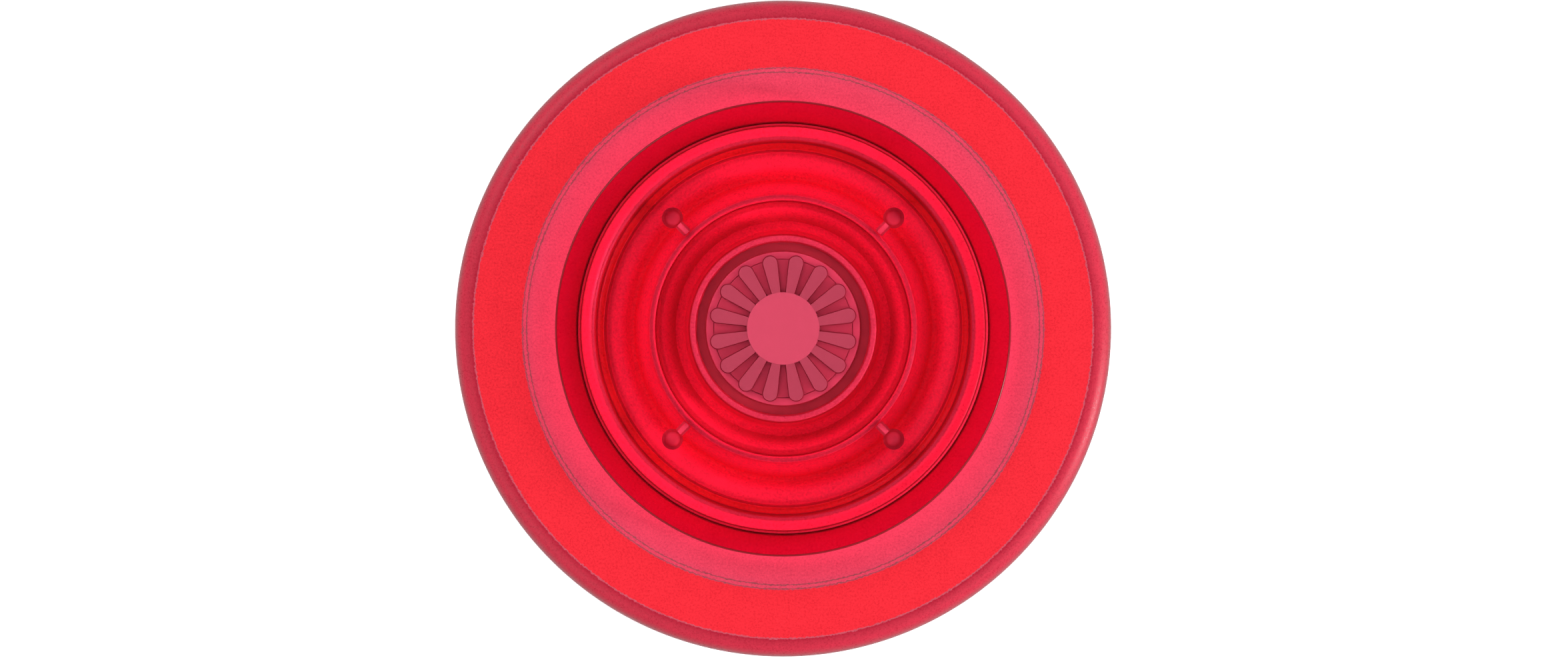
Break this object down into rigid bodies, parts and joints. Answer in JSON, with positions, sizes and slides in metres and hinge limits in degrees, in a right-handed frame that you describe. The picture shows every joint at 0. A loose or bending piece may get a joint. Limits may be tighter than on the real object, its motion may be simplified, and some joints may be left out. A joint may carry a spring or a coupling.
{
  "type": "pop-out phone grip",
  "caption": "Round translucent phone grip: a folded two-stage bellows in a shallow base with a ring of magnets carries a clear round top that pulls out in two stages and twists off.",
  "frame": {"origin": "centre of the face of the grip pad that sits on the phone, which is the bottom centre of the bounding box", "axes": "+Z points away from the phone, along the line that the top is pulled out on, and is the axis of every turned piece; +X passes between two of the top's pegs and through the middle of one bayonet lug"},
  "size_m": [0.0574, 0.0574, 0.0077],
  "materials": {
    "frosted_red_plastic": "translucent frosted polycarbonate",
    "clear_red_plastic": "clear tinted, polished",
    "soft_red_bellows": "fine-grained translucent thermoplastic urethane",
    "bright_red_band": "printed or dyed cover ring, matt",
    "red_grip_rubber": "soft matt silicone",
    "zinc_plated_steel": "thin zinc plate",
    "nickel_plated_magnet": "nickel-plated neodymium magnet"
  },
  "bodies": {
    "base": {"front_shell": "frosted_red_plastic", "colour_ring": "bright_red_band", "steel_yoke": "zinc_plated_steel", "magnet_01": "nickel_plated_magnet", "magnet_02": "nickel_plated_magnet", "magnet_03": "nickel_plated_magnet", "magnet_04": "nickel_plated_magnet", "magnet_05": "nickel_plated_magnet", "magnet_06": "nickel_plated_magnet", "magnet_07": "nickel_plated_magnet", "magnet_08": "nickel_plated_magnet", "magnet_09": "nickel_plated_magnet", "magnet_10": "nickel_plated_magnet", "magnet_11": "nickel_plated_magnet", "magnet_12": "nickel_plated_magnet", "magnet_13": "nickel_plated_magnet", "magnet_14": "nickel_plated_magnet", "magnet_15": "nickel_plated_magnet", "magnet_16": "nickel_plated_magnet", "rear_cover": "frosted_red_plastic", "grip_pad": "red_grip_rubber", "clamp_ring": "frosted_red_plastic", "accordion_collar": "soft_red_bellows", "outer_fold_web": "soft_red_bellows"},
    "middle": {"fold_ring": "soft_red_bellows", "inner_fold_web": "soft_red_bellows"},
    "hub": {"hub_cup": "soft_red_bellows", "lock_ring": "frosted_red_plastic"},
    "top": {"top_disc": "clear_red_plastic", "twist_connector": "frosted_red_plastic"}
  },
  "joints": [
    {"name": "outer_fold_slide", "type": "slide", "parent": "base", "child": "middle", "axis": [0, 0, 1], "range_m": [0, 0.0077], "deforming": ["outer_fold_web"]},
    {"name": "inner_fold_slide", "type": "slide", "parent": "middle", "child": "hub", "axis": [0, 0, 1], "range_m": [0, 0.0077], "deforming": ["inner_fold_web"]},
    {"name": "top_twist", "type": "hinge", "parent": "hub", "child": "top", "pos_m": [0, 0, 0.005], "axis": [0, 0, 1], "range_deg": [0, 90]}
  ]
}
